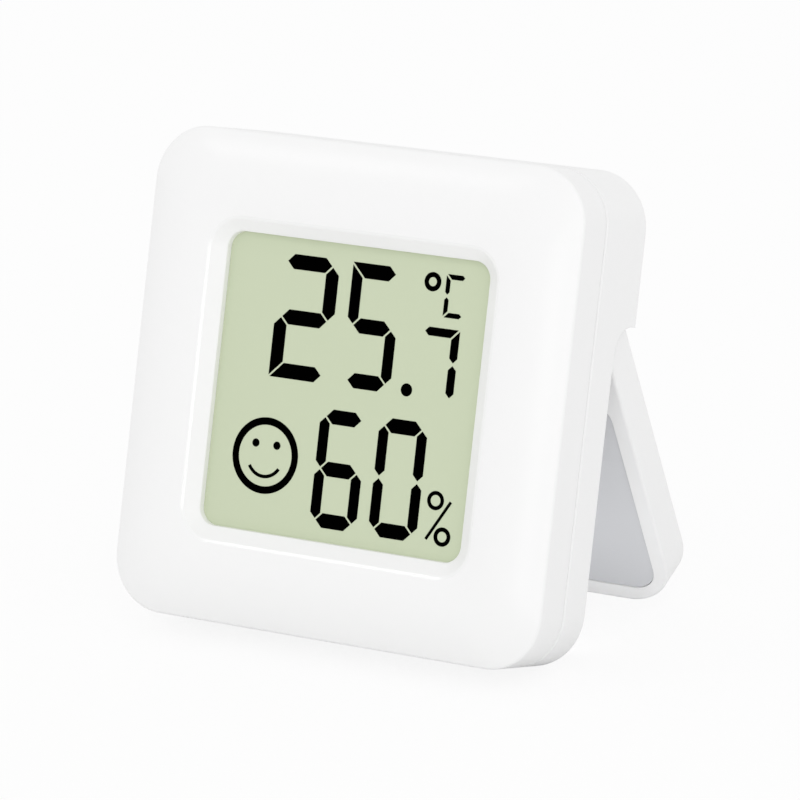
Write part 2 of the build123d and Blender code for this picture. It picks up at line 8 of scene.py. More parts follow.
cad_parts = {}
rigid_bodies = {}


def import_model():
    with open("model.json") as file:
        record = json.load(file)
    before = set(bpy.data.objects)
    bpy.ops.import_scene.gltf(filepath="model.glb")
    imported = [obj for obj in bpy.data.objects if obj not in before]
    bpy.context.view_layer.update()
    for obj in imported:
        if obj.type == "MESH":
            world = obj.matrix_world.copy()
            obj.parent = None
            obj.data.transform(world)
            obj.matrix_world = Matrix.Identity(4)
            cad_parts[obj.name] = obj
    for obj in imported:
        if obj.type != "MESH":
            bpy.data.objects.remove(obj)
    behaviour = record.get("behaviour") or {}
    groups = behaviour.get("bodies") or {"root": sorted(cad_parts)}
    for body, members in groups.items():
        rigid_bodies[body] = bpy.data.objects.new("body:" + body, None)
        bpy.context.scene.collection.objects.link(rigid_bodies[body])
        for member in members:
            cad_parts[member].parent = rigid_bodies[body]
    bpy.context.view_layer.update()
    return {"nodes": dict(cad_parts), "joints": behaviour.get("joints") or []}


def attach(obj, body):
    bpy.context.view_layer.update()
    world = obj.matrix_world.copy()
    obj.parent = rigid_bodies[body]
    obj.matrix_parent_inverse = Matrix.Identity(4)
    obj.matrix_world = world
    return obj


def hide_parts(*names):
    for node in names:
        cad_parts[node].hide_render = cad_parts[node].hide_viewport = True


bl_info = {
    "name": "Desk temperature and humidity sensor",
    "version": (1, 0, 0),
    "blender": (4, 5, 0),
    "location": "3D View > Sidebar > Sensor",
    "description": "Builds the looks of a desk sensor leaning on its folding stand",
    "category": "Object",
}

for leftover in list(bpy.data.objects):
    bpy.data.objects.remove(leftover)
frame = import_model()

MM = 0.001


def joint(name):
    """One of the frame's joints."""
    return next(entry for entry in frame["joints"] if entry["name"] == name)


# The face frame: x to the right, y up the face, z out of the front. Its origin lies in the middle
# of the front edge's plane. The battery door turns about a line straight backwards, below that
# middle.
DOOR_DEPTH = 10 * MM
DOOR_HEIGHT = -9.5 * MM
RIGHTWARD = Vector((1, 0, 0))
BACKWARD = Vector(joint("door_turn")["axis"])
UPWARD = RIGHTWARD.cross(BACKWARD)
FACE_ORIGIN = Vector(joint("door_turn")["pos_m"]) - DOOR_DEPTH * BACKWARD - DOOR_HEIGHT * UPWARD
FACE_TURN = Matrix((RIGHTWARD, UPWARD, -BACKWARD)).transposed()
FACE = Matrix.Translation(FACE_ORIGIN) @ FACE_TURN.to_4x4()


# Kinds of settings


def millimetres(name, description, value):
    """A length setting, given in millimetres and kept in metres."""
    return bpy.props.FloatProperty(
        name=name, description=description, default=value * MM, unit="LENGTH", precision=5
    )


def metres(name, description, value):
    """A length setting, given in metres."""
    return bpy.props.FloatProperty(
        name=name, description=description, default=value, unit="LENGTH"
    )


def degrees(name, description, value):
    """An angle setting, given in degrees and kept in radians."""
    return bpy.props.FloatProperty(
        name=name, description=description, default=math.radians(value), unit="ROTATION"
    )


def power(name, description, value):
    """How strong a light is."""
    return bpy.props.FloatProperty(name=name, description=description, default=value, min=0)


def count(name, description, value):
    """A whole number setting."""
    return bpy.props.IntProperty(name=name, description=description, default=value, min=1)


def share(name, description, value):
    """A setting between 0 and 1."""
    return bpy.props.FloatProperty(
        name=name, description=description, default=value, min=0, max=1, subtype="FACTOR"
    )


def linear(code):
    """A hex sRGB colour as linear red, green and blue."""
    channels = [int(code[i : i + 2], 16) / 255 for i in (0, 2, 4)]
    return tuple(c / 12.92 if c <= 0.04045 else ((c + 0.055) / 1.055) ** 2.4 for c in channels)


def paint(name, description, code):
    """A colour setting."""
    return bpy.props.FloatVectorProperty(
        name=name,
        description=description,
        default=linear(code),
        size=3,
        min=0,
        max=1,
        subtype="COLOR",
    )


class ShellSettings(bpy.types.PropertyGroup):
    side: millimetres("Side", "Width and height of the body", 60)
    corner: millimetres("Corner", "Radius of the body's corners", 7)
    wall: millimetres("Wall", "Thickness of the moulded walls", 1.5)
    depth: millimetres("Front depth", "Depth of the front cover's side wall", 5.6)
    edge: millimetres("Edge", "Width of the rounding along the outer front edge", 0.3)
    crest: millimetres("Crest", "Distance of the domed frame's crest from the middle", 22.8)
    rise: millimetres("Rise", "Height of the crest above the outer edge", 1.9)
    brink: millimetres("Brink", "Half size at which the dome meets the recess", 20)
    brink_width: millimetres(
        "Brink width", "Width of the outline where the dome meets the recess", 40.43
    )
    brink_height: millimetres("Brink height", "Height of that outline", 39.57)
    brink_corner: millimetres("Brink corner", "Corner radius of that outline", 4.17)
    brink_shift: millimetres("Brink shift", "How far that outline lies above the middle", -0.28)
    brink_bevel: millimetres(
        "Brink bevel", "Width of the flat bevel along that outline, to each side", 0.2
    )
    window_width: millimetres("Window width", "Width of the window over the display", 36.74)
    window_height: millimetres("Window height", "Height of the window", 36.06)
    window_corner: millimetres("Window corner", "Corner radius of the window", 2.2)
    window_shift: millimetres(
        "Window shift", "How far the window's middle lies above the body's", -0.19
    )
    window_top: millimetres(
        "Window top", "Height of the window's upper edge above the outer edge", 0.36
    )
    window_round: millimetres(
        "Window rounding", "Width of the rounding along the window's upper edge", 0.1
    )
    rim: millimetres("Rim", "Width of the rounding along the rear rim", 0.4)
    dome_steps: count("Dome steps", "Rings over the domed frame", 26)
    corner_steps: count("Corner steps", "Steps round each corner", 24)
    round_steps: count("Rounding steps", "Steps over the roundings of edge and rim", 12)
    window_steps: count("Window steps", "Steps over the window's rounding", 10)
    post_spacing: millimetres("Post spacing", "Distance between the board posts", 45.6)
    post_radius: millimetres("Post radius", "Radius of the board posts", 2.2)
    post_end: millimetres("Post end", "Depth of the posts' ends", 3.2)
    post_steps: count("Post steps", "Steps round each board post", 32)
    colour: paint("Colour", "Moulded white plastic", "F4F4F4")
    grain: share("Grain", "Strength of the satin grain", 0.06)
    gloss: share("Roughness", "Roughness of the white plastic", 0.3)
    polish: share("Bevel roughness", "Roughness of the bevel round the recess", 0.2)


class DisplaySettings(bpy.types.PropertyGroup):
    film_depth: millimetres("Film depth", "Depth of the display's front film", 0.5)
    ink: millimetres("Figure height", "Height of the dark figures above the film", 0.03)
    gap: millimetres("Gap", "Distance from a segment's tip to the crossing of the strokes", 0.17)
    field: paint("Field", "Grey-green of the unlit display", "CAD3B7")
    figures: paint("Figures", "Darkened display segments", "010101")
    ring_steps: count("Ring steps", "Steps round the rings", 96)
    mouth_steps: count("Mouth steps", "Steps along the comfort face's mouth", 24)


class StandSettings(bpy.types.PropertyGroup):
    panel_width: millimetres("Panel width", "Width of the grey panel", 54.7)
    panel_height: millimetres("Panel height", "Height of the panel", 30.7)
    panel_corner: millimetres("Panel corner", "Corner radius of the panel", 3.55)
    panel_drop: millimetres(
        "Panel drop", "How far the panel's middle lies below the hinge", 20.4
    )
    panel_rear: millimetres(
        "Panel rear", "Distance from the hinge line to the panel's rear side", 2.1
    )
    panel_thickness: millimetres("Panel thickness", "Thickness of the panel", 0.85)
    panel_edge: millimetres("Panel edge", "Width of the rounding along the panel's edge", 0.1)
    corner_steps: count("Corner steps", "Steps round each corner of the panel", 16)
    edge_steps: count("Edge steps", "Steps over the rounding of the panel's edge", 4)
    panel: paint("Panel", "Grey panel let into the stand", "D3D4D7")
    sheen: share("Roughness", "Roughness of the panel", 0.38)


class StudioSettings(bpy.types.PropertyGroup):
    camera_distance: metres("Distance", "From the camera to the point it looks at", 0.63723)
    azimuth: degrees(
        "Azimuth", "From straight ahead of the face to the camera's right side", 29.808
    )
    elevation: degrees(
        "Elevation", "How far the camera stands above straight ahead of the face", 3.513
    )
    roll: degrees("Roll", "How far the camera is tilted sideways", 6.257)
    aim: bpy.props.FloatVectorProperty(
        name="Aim",
        description="Point of the face the camera looks at",
        default=(0.00583, -0.000057, -0.003336),
        size=3,
        subtype="TRANSLATION",
    )
    lens: bpy.props.FloatProperty(
        name="Lens",
        description="Focal length in millimetres",
        default=238.655,
        unit="CAMERA",
    )
    room: power("Room", "Strength of the light from all round", 0.875)
    key: power("Key", "Power of the soft lamp above on the right", 0.8)
    low: power("Low", "Power of the large soft lamp on the right, at the object's height", 1.6)
    glint: power("Glint", "Power of each small lamp that the bevel round the recess mirrors", 0.25)
    under: power("Under", "Power of the lamp that lifts the shade between body and stand", 0.0021)
    heel_depth: millimetres("Heel depth", "Depth of the body at its lower edge", 11.1)
    floor_size: metres("Floor", "Side of the floor", 3)
    floor_glow: share("Floor glow", "Share of the floor that stays white whatever the light", 0.88)


# Materials


def add_node(tree, kind, label="", **values):
    """Adds a shader node. Values set its sockets by name, or else its own settings."""
    made = tree.nodes.new(kind)
    made.label = label
    for key, value in values.items():
        name = key.replace("_", " ").title()
        if isinstance(value, bpy.types.NodeSocket):
            tree.links.new(value, made.inputs[name])
        elif name in made.inputs:
            made.inputs[name].default_value = value
        else:
            setattr(made, key, value)
    return made


def new_material(name):
    """An empty node material, its tree, its output and its object coordinates."""
    material = bpy.data.materials.new(name)
    material.use_nodes = True
    tree = material.node_tree
    tree.nodes.clear()
    output = tree.nodes.new("ShaderNodeOutputMaterial")
    place = tree.nodes.new("ShaderNodeTexCoord")
    return material, tree, output, place.outputs["Object"]


def spread(tree, place, size, colour, amount):
    """A colour that wanders by a share of itself over patches of a real size."""
    noise = add_node(
        tree, "ShaderNodeTexNoise", "patches", vector=place, scale=1 / size, detail=3
    )
    ramp = add_node(
        tree,
        "ShaderNodeMapRange",
        "patch strength",
        value=noise.outputs["Fac"],
        to_min=1 - amount,
        to_max=1 + amount,
    )
    tint = add_node(tree, "ShaderNodeVectorMath", "tint", operation="SCALE")
    tint.inputs[0].default_value = colour
    tree.links.new(ramp.outputs["Result"], tint.inputs["Scale"])
    return tint.outputs["Vector"]


def relief(tree, place, size, height, strength, softened=0):
    """A bump of fine grains of a real size and height, over edges softened by a radius."""
    noise = add_node(tree, "ShaderNodeTexNoise", "grain", vector=place, scale=1 / size, detail=2)
    bump = add_node(
        tree,
        "ShaderNodeBump",
        "relief",
        strength=strength,
        distance=height,
        height=noise.outputs["Fac"],
    )
    if softened:
        soft = add_node(tree, "ShaderNodeBevel", "softened edges", radius=softened, samples=6)
        tree.links.new(soft.outputs["Normal"], bump.inputs["Normal"])
    return bump.outputs["Normal"]


def solid(
    name,
    colour,
    roughness,
    patch,
    amount,
    grain,
    height,
    strength,
    metallic=0,
    specular=0.5,
    softened=0,
):
    """A plain stuff: base colour in soft patches, and a fine grain. Sizes are in millimetres."""
    material, tree, output, place = new_material(name)
    shader = add_node(tree, "ShaderNodeBsdfPrincipled", roughness=roughness, metallic=metallic)
    shader.inputs["Specular IOR Level"].default_value = specular
    tint = spread(tree, place, patch * MM, colour, amount)
    tree.links.new(tint, shader.inputs["Base Color"])
    normal = relief(tree, place, grain * MM, height * MM, strength, softened=softened * MM)
    tree.links.new(normal, shader.inputs["Normal"])
    tree.links.new(shader.outputs["BSDF"], output.inputs["Surface"])
    return material


def moulded_white(shell):
    """Injection-moulded ABS from a finely spark-eroded mould: an even satin white.

    Its grain is just too fine to see singly, and its edges are a little soft, as moulded edges are.
    """
    return solid(
        "moulded_white",
        shell.colour,
        roughness=shell.gloss,
        patch=9,
        amount=0.004,
        grain=0.12,
        height=0.006,
        strength=shell.grain,
        softened=0.15,
    )


def striped(name, dark, light, pitch, roughness, metallic=0):
    """Thin layers side by side, as of carbon and silicone in a contact strip, or rolling marks."""
    material, tree, output, place = new_material(name)
    # A wave takes about a third of the texture's own unit
    waves = 1 / (pitch * MM) / 3
    wave = add_node(
        tree, "ShaderNodeTexWave", "layers", vector=place, scale=waves, distortion=0.6, detail=2
    )
    mix = add_node(
        tree, "ShaderNodeMix", "two tones", data_type="RGBA", factor=wave.outputs["Fac"]
    )
    colours = [socket for socket in mix.inputs if socket.type == "RGBA"]
    colours[0].default_value = (*dark, 1)
    colours[1].default_value = (*light, 1)
    result = [socket for socket in mix.outputs if socket.type == "RGBA"][0]
    shader = add_node(
        tree,
        "ShaderNodeBsdfPrincipled",
        roughness=roughness,
        metallic=metallic,
        base_color=result,
    )
    normal = relief(tree, place, size=0.2 * MM, height=0.005 * MM, strength=0.1)
    tree.links.new(normal, shader.inputs["Normal"])
    tree.links.new(shader.outputs["BSDF"], output.inputs["Surface"])
    return material


def clear_glass():
    """Soda-lime float glass with a green tinge: it shows as a pale sheet edge."""
    material, tree, output, place = new_material("display_glass")
    shader = add_node(tree, "ShaderNodeBsdfPrincipled", roughness=0.02)
    shader.inputs["Transmission Weight"].default_value = 0.9
    shader.inputs["IOR"].default_value = 1.52
    tint = spread(tree, place, size=6 * MM, colour=linear("E4EFE6"), amount=0.01)
    tree.links.new(tint, shader.inputs["Base Color"])
    normal = relief(tree, place, size=5 * MM, height=0.002 * MM, strength=0.02)
    tree.links.new(normal, shader.inputs["Normal"])
    tree.links.new(shader.outputs["BSDF"], output.inputs["Surface"])
    return material


def circuit_mask():
    """Green solder mask over copper: lighter where copper lies under it, in a block pattern."""
    material, tree, output, place = new_material("circuit_mask")
    bricks = add_node(tree, "ShaderNodeTexBrick", "copper areas", vector=place, scale=1 / (6 * MM))
    bricks.inputs["Color1"].default_value = (*linear("0F4A26"), 1)
    bricks.inputs["Color2"].default_value = (*linear("13562C"), 1)
    bricks.inputs["Mortar"].default_value = (*linear("0A3319"), 1)
    bricks.inputs["Mortar Size"].default_value = 0.03
    shader = add_node(
        tree, "ShaderNodeBsdfPrincipled", roughness=0.3, base_color=bricks.outputs["Color"]
    )
    normal = relief(tree, place, size=0.6 * MM, height=0.02 * MM, strength=0.15)
    tree.links.new(normal, shader.inputs["Normal"])
    tree.links.new(shader.outputs["BSDF"], output.inputs["Surface"])
    return material


def dress(piece, material):
    """Gives a piece one material."""
    if piece.data.materials:
        piece.data.materials.clear()
    piece.data.materials.append(material)


# Shapes


def rounded_loop(bm, width, height, corner, level, steps):
    """The edges of one rounded rectangle, level with the face."""
    made = bmesh.ops.create_grid(bm, x_segments=1, y_segments=1, size=0.5)["verts"]
    bmesh.ops.scale(bm, vec=(width, height, 1), verts=made)
    bmesh.ops.translate(bm, vec=(0, 0, level), verts=made)
    bmesh.ops.bevel(
        bm,
        geom=made,
        offset=corner,
        segments=steps,
        profile=0.5,
        affect="VERTICES",
        material=-1,
    )
    face = bm.faces[:][0]
    edges = list(face.edges)
    bmesh.ops.delete(bm, geom=[face], context="FACES_ONLY")
    return edges


def rounded_rings(bm, stations, steps):
    """A closed skin through rounded outlines: each a width, height, corner, shift and level.

    The outlines are joined while they stand well apart, because two in one plane can't be told
    apart, and then moved to their places. Returns the edges of each outline.
    """
    apart = 10 * MM
    loops = [
        rounded_loop(bm, *station[:3], index * apart, steps)
        for index, station in enumerate(stations)
    ]
    for near, far in zip(loops, loops[1:] + loops[:1]):
        bmesh.ops.bridge_loops(bm, edges=near + far)
    for index, (loop, station) in enumerate(zip(loops, stations)):
        verts = list({vert for edge in loop for vert in edge.verts})
        step = (0, station[3], station[4] - index * apart)
        bmesh.ops.translate(bm, vec=step, verts=verts)
    return loops


def bevel_edges(bm, edges, width, steps, material=-1):
    """Bevels edges by a width to each side. More than one step rounds them."""
    bmesh.ops.bevel(
        bm,
        geom=edges,
        offset=width,
        segments=steps,
        profile=0.5,
        affect="EDGES",
        material=material,
    )


def thicken(bm, height):
    """Gives flat faces a thickness and returns the edges round their raised sides."""
    raised = bmesh.ops.extrude_face_region(bm, geom=bm.faces[:], use_keep_orig=True)["geom"]
    verts = [part for part in raised if isinstance(part, bmesh.types.BMVert)]
    bmesh.ops.translate(bm, vec=(0, 0, height), verts=verts)
    return [part for part in raised if isinstance(part, bmesh.types.BMEdge)]


def put(bm, name, body, smooth=True, sharp=30):
    """Moves a shape from the face frame into place and makes it a piece that rides a body.

    Edges that turn by more than the sharp angle, in degrees, aren't shaded smooth.
    """
    bmesh.ops.transform(bm, matrix=FACE, verts=bm.verts)
    bmesh.ops.recalc_face_normals(bm, faces=bm.faces)
    for face in bm.faces:
        face.smooth = smooth
    for edge in bm.edges:
        edge.smooth = not (edge.is_manifold and edge.calc_face_angle() > math.radians(sharp))
    mesh = bpy.data.meshes.new(name)
    bm.to_mesh(mesh)
    bm.free()
    piece = bpy.data.objects.new(name, mesh)
    bpy.context.scene.collection.objects.link(piece)
    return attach(piece, body)


# The dome's steps turn by less than this and the bevel round the recess by more, in degrees
DOME_SHARP = 9


class SENSOR_OT_front_cover(bpy.types.Operator):
    """Front cover: a domed frame that slopes down to the display window, with a short side wall"""

    bl_idname = "sensor.front_cover"
    bl_label = "Front cover"

    def stations(self, s, film_depth):
        """The outlines of the cover's section, from the rear rim over the dome to the inside."""
        half = s.side / 2
        radius = ((half - s.crest) ** 2 + s.rise**2) / (2 * s.rise)

        def dome(reach):
            return math.sqrt(radius**2 - (reach - s.crest) ** 2) - radius + s.rise

        outlines = [(s.side, s.side, s.corner, 0, -s.depth), (s.side, s.side, s.corner, 0, 0)]
        for step in range(1, s.dome_steps + 1):
            along = step / s.dome_steps
            reach = half + (s.brink - half) * along
            width = s.side + (s.brink_width - s.side) * along
            height = s.side + (s.brink_height - s.side) * along
            corner = s.corner + (s.brink_corner - s.corner) * along
            outlines.append((width, height, corner, s.brink_shift * along, dome(reach)))
        window = (s.window_width, s.window_height, s.window_corner, s.window_shift)
        outlines.append((*window, s.window_top))
        outlines.append((*window, -film_depth))
        inside = s.side - 2 * s.wall
        outlines.append((inside, inside, s.corner - s.wall, 0, -film_depth))
        outlines.append((inside, inside, s.corner - s.wall, 0, -s.depth))
        return outlines

    def execute(self, context):
        s = context.scene.sensor_shell
        film_depth = context.scene.sensor_display.film_depth
        bm = bmesh.new()
        loops = rounded_rings(bm, self.stations(s, film_depth), s.corner_steps)
        rear_rim, front_edge, brink = 0, 1, 1 + s.dome_steps
        bevel_edges(bm, loops[rear_rim], s.rim, s.round_steps)
        bevel_edges(bm, loops[front_edge], s.edge, s.round_steps)
        bevel_edges(bm, loops[brink + 1], s.window_round, s.window_steps)
        # The flat bevel round the recess has the cover's second material
        bevel_edges(bm, loops[brink], s.brink_bevel, 1, material=1)
        length = s.post_end - film_depth
        for x in (-1, 1):
            for y in (-1, 1):
                across, up = x * s.post_spacing / 2, y * s.post_spacing / 2
                bmesh.ops.create_cone(
                    bm,
                    cap_ends=True,
                    segments=s.post_steps,
                    radius1=s.post_radius,
                    radius2=s.post_radius,
                    depth=length,
                    matrix=Matrix.Translation((across, up, -film_depth - length / 2)),
                )
        cover = put(bm, "front_cover_shell", "housing", sharp=DOME_SHARP)
        cover.modifiers.new("even shading", "WEIGHTED_NORMAL").keep_sharp = True
        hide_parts("front_cover")
        dress(cover, moulded_white(s))
        # The mould is polished where the flat bevel round the recess lies, so this line shines
        bevel = solid(
            "polished_white",
            s.colour,
            roughness=s.polish,
            patch=9,
            amount=0.004,
            grain=0.12,
            height=0.002,
            strength=0.01,
        )
        cover.data.materials.append(bevel)
        return {"FINISHED"}


def white_node(context, node):
    """Gives a carried-over node the white plastic of the front cover."""
    white = bpy.data.materials.get("moulded_white") or moulded_white(context.scene.sensor_shell)
    dress(frame["nodes"][node], white)


class SENSOR_OT_rear_cover(bpy.types.Operator):
    """Rear cover: lower back, thick upper part, hinge lugs and vents"""

    bl_idname = "sensor.rear_cover"
    bl_label = "Rear cover"

    def execute(self, context):
        white_node(context, "rear_cover")
        return {"FINISHED"}


class SENSOR_OT_display(bpy.types.Operator):
    """Display: films, glasses, cushion, holder and contact strips"""

    bl_idname = "sensor.display"
    bl_label = "Display"

    def execute(self, context):
        s = context.scene.sensor_display
        nodes = frame["nodes"]
        # Iodine polariser film, anti-glare on top: matt, even, with a dull shine at a flat angle
        film = solid(
            "display_film",
            s.field,
            roughness=0.62,
            patch=12,
            amount=0.006,
            grain=0.08,
            height=0.003,
            strength=0.04,
            specular=0.2,
        )
        dress(nodes["display_front_polariser"], film)
        dress(nodes["display_reflector"], film)
        glass = clear_glass()
        dress(nodes["display_front_glass"], glass)
        dress(nodes["display_rear_glass"], glass)
        # Cut polyurethane foam: open cells show as a coarse dark grain
        foam = solid(
            "cut_foam",
            linear("2A2A2A"),
            roughness=0.9,
            patch=2,
            amount=0.2,
            grain=0.4,
            height=0.15,
            strength=0.6,
        )
        dress(nodes["display_cushion"], foam)
        # Moulded polystyrene, black, from a polished mould: smooth and a little shiny
        carrier = solid(
            "black_moulding",
            linear("2B2C2E"),
            roughness=0.35,
            patch=6,
            amount=0.05,
            grain=0.3,
            height=0.005,
            strength=0.1,
        )
        for node in ("display_holder", "switch_body", "cell_holder"):
            dress(nodes[node], carrier)
        # Layers of carbon-filled and clear silicone: fine dark and pale stripes, rubbery
        strips = striped(
            "layered_elastomer", linear("3A3A3C"), linear("B9BABD"), pitch=0.1, roughness=0.6
        )
        dress(nodes["contact_strips"], strips)
        return {"FINISHED"}


def bar(bm, left, right, low, high, cuts):
    """A flat display segment: a rectangle with slanting cuts.

    Each cut is a corner or point of the segment and the way the cut faces.
    """
    piece = bmesh.new()
    made = bmesh.ops.create_grid(piece, x_segments=1, y_segments=1, size=0.5)["verts"]
    bmesh.ops.scale(piece, vec=(right - left, high - low, 1), verts=made)
    bmesh.ops.translate(piece, vec=((left + right) / 2, (low + high) / 2, 0), verts=made)
    for x, y, way_x, way_y in cuts:
        bmesh.ops.bisect_plane(
            piece,
            geom=piece.verts[:] + piece.edges[:] + piece.faces[:],
            plane_co=(x, y, 0),
            plane_no=(way_x, way_y, 0),
            clear_outer=True,
        )
    mesh = bpy.data.meshes.new("segment")
    piece.to_mesh(mesh)
    piece.free()
    bm.from_mesh(mesh)
    bpy.data.meshes.remove(mesh)


def level_bar(bm, left, right, height, width, left_end, right_end):
    """A level segment. An end is a point, or slants from the named outer side."""
    cuts = []
    for x, way, end in ((left, -1, left_end), (right, 1, right_end)):
        if end != "high":
            cuts.append((x, height, way, 1))
        if end != "low":
            cuts.append((x, height, way, -1))
    half = width / 2
    reach_left = left - (half if left_end != "point" else 0)
    reach_right = right + (half if right_end != "point" else 0)
    bar(bm, reach_left, reach_right, height - half, height + half, cuts)


def upright_bar(bm, x, top, bottom, width, top_end, bottom_end):
    """An upright segment. An end is a point, or slants from the named outer side."""
    cuts = []
    for y, way, end in ((top, 1, top_end), (bottom, -1, bottom_end)):
        if end != "left":
            cuts.append((x, y, -1, way))
        if end != "right":
            cuts.append((x, y, 1, way))
    half = width / 2
    reach_top = top + (half if top_end != "point" else 0)
    reach_bottom = bottom - (half if bottom_end != "point" else 0)
    bar(bm, x - half, x + half, reach_bottom, reach_top, cuts)


def ring(bm, x, y, outer, inner, steps):
    """A flat ring, or a disc if it has no inner radius."""
    place = Matrix.Translation((x, y, 0))
    if not inner:
        bmesh.ops.create_circle(bm, cap_ends=True, segments=steps, radius=outer, matrix=place)
        return
    edges = []
    for radius in (outer, inner):
        made = bmesh.ops.create_circle(
            bm, cap_ends=False, segments=steps, radius=radius, matrix=place
        )
        edges += list({edge for vert in made["verts"] for edge in vert.link_edges})
    bmesh.ops.bridge_loops(bm, edges=edges)


# The figures in the face frame, in millimetres. Each has the middle lines of its strokes: left,
# right, top, middle and bottom, the widths of upright and level strokes, and its lit segments.
# Segments are lettered as usual, from a at the top clockwise to f, with g in the middle. A
# segment's ends are points, unless named with the outer side they slant from.
TENS = (
    (-10.3, -3.73, 14.93, 8.2, 1.66),
    (1.78, 1.82),
    {"a": (), "b": (), "g": (), "e": ("", "left"), "d": ("low", "")},
)
ONES = (
    (-0.25, 5.2, 14.93, 8.28, 1.66),
    (1.46, 1.82),
    {"a": ("high", ""), "f": ("left", ""), "g": (), "c": (), "d": ()},
)
TENTHS = (
    (9.7, 14.09, 8.81, 5.19, 1.0),
    (1.09, 1.04),
    {"a": ("", "high"), "b": ("right", ""), "c": ()},
)
SCALE_LETTER = (
    (12.3, 14.7, 15.53, 13.22, 10.95),
    (0.58, 0.6),
    {"a": ("high", ""), "f": ("left", ""), "e": ("", "left"), "d": ("low", "")},
)
HUMIDITY_TENS = (
    (-2.57, 2.62, -3.04, -9.36, -15.62),
    (1.4, 1.77),
    {"a": (), "f": (), "g": (), "e": (), "c": (), "d": ()},
)
HUMIDITY_ONES = (
    (5.7, 11.03, -3.04, -9.36, -15.62),
    (1.38, 1.77),
    {"a": (), "b": (), "f": (), "e": (), "c": (), "d": ()},
)
FIGURES = (TENS, ONES, TENTHS, SCALE_LETTER, HUMIDITY_TENS, HUMIDITY_ONES)
# Discs and rings: the middle, the outer radius and the inner radius, which is 0 for a disc
DECIMAL_POINT = (8.19, 1.45, 0.78, 0)
DEGREE_RING = (10.19, 14.69, 1.15, 0.55)
PERCENT_RINGS = ((13.82, -11.13, 1.15, 0.68), (15.22, -15.32, 1.15, 0.64))
ROUND_FIGURES = (DECIMAL_POINT, DEGREE_RING, *PERCENT_RINGS)
# The per cent sign's stroke: middle, length, width and slant in degrees
PERCENT_MIDDLE, PERCENT_LENGTH, PERCENT_WIDTH, PERCENT_SLANT = (14.47, -13.46), 5.6, 0.37, 58.8
# The comfort face's ring: middle, outer radius and line width. The eyes stand beside and above the
# middle.
COMFORT_MIDDLE, COMFORT_RADIUS, COMFORT_LINE = (-10.43, -8.9), 4.65, 0.9
EYE_X, EYE_Y, EYE_RADIUS = 1.5, 1.4, 0.5
# Its mouth is an arc: middle, radius, angle to each side of straight down in degrees, line width
MOUTH_MIDDLE, MOUTH_RADIUS, MOUTH_HALF, MOUTH_LINE = (-10.43, -9.0), 2.45, 58, 0.42


class SENSOR_OT_figures(bpy.types.Operator):
    """Figures: the darkened segments of the display"""

    bl_idname = "sensor.figures"
    bl_label = "Figures"

    def segments(self, bm, gap):
        """The numbers and the scale's letter."""
        for (left, right, top, middle, bottom), (upright, level), lit in FIGURES:
            places = {
                "a": (left, right, top),
                "g": (left, right, middle),
                "d": (left, right, bottom),
                "f": (left, top, middle),
                "b": (right, top, middle),
                "e": (left, middle, bottom),
                "c": (right, middle, bottom),
            }
            for name, named in lit.items():
                ends = [end or "point" for end in (*named, "", "")[:2]]
                one, two, three = places[name]
                if name in "agd":
                    level_bar(bm, one + gap, two - gap, three, level, *ends)
                else:
                    upright_bar(bm, one, two - gap, three + gap, upright, *ends)

    def percent_stroke(self, bm):
        """The slanting stroke of the per cent sign."""
        made = bmesh.ops.create_grid(bm, x_segments=1, y_segments=1, size=0.5)["verts"]
        bmesh.ops.scale(bm, vec=(PERCENT_LENGTH, PERCENT_WIDTH, 1), verts=made)
        slant = Matrix.Rotation(math.radians(PERCENT_SLANT), 3, "Z")
        bmesh.ops.rotate(bm, matrix=slant, verts=made)
        bmesh.ops.translate(bm, vec=(*PERCENT_MIDDLE, 0), verts=made)

    def comfort_face(self, bm, s):
        """A plain ring with two dots and an arc."""
        x, y = COMFORT_MIDDLE
        ring(bm, x, y, COMFORT_RADIUS, COMFORT_RADIUS - COMFORT_LINE, s.ring_steps)
        for side in (-1, 1):
            ring(bm, x + side * EYE_X, y + EYE_Y, EYE_RADIUS, 0, s.ring_steps)
        start = math.radians(-90 - MOUTH_HALF)
        way = Vector((math.cos(start), math.sin(start), 0))
        middle = Vector((*MOUTH_MIDDLE, 0))
        ends = [
            bm.verts.new(middle + way * (MOUTH_RADIUS + side * MOUTH_LINE / 2))
            for side in (-1, 1)
        ]
        bmesh.ops.spin(
            bm,
            geom=[*ends, bm.edges.new(ends)],
            cent=middle,
            axis=(0, 0, 1),
            dvec=(0, 0, 0),
            angle=math.radians(2 * MOUTH_HALF),
            steps=s.mouth_steps,
            use_merge=False,
        )

    def execute(self, context):
        s = context.scene.sensor_display
        bm = bmesh.new()
        self.segments(bm, s.gap / MM)
        for figure in ROUND_FIGURES:
            ring(bm, *figure, s.ring_steps)
        self.percent_stroke(bm)
        self.comfort_face(bm, s)
        bmesh.ops.scale(bm, vec=(MM, MM, MM), verts=bm.verts)
        bmesh.ops.translate(bm, vec=(0, 0, -s.film_depth), verts=bm.verts)
        thicken(bm, s.ink)
        figures = put(bm, "display_figures", "housing", smooth=False)
        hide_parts("display_segments")
        # Liquid crystal between crossed polarisers: a flat black with no shine of its own
        ink = solid(
            "display_ink",
            s.figures,
            roughness=0.6,
            patch=3,
            amount=0.05,
            grain=0.1,
            height=0.002,
            strength=0.03,
            specular=0,
        )
        dress(figures, ink)
        return {"FINISHED"}


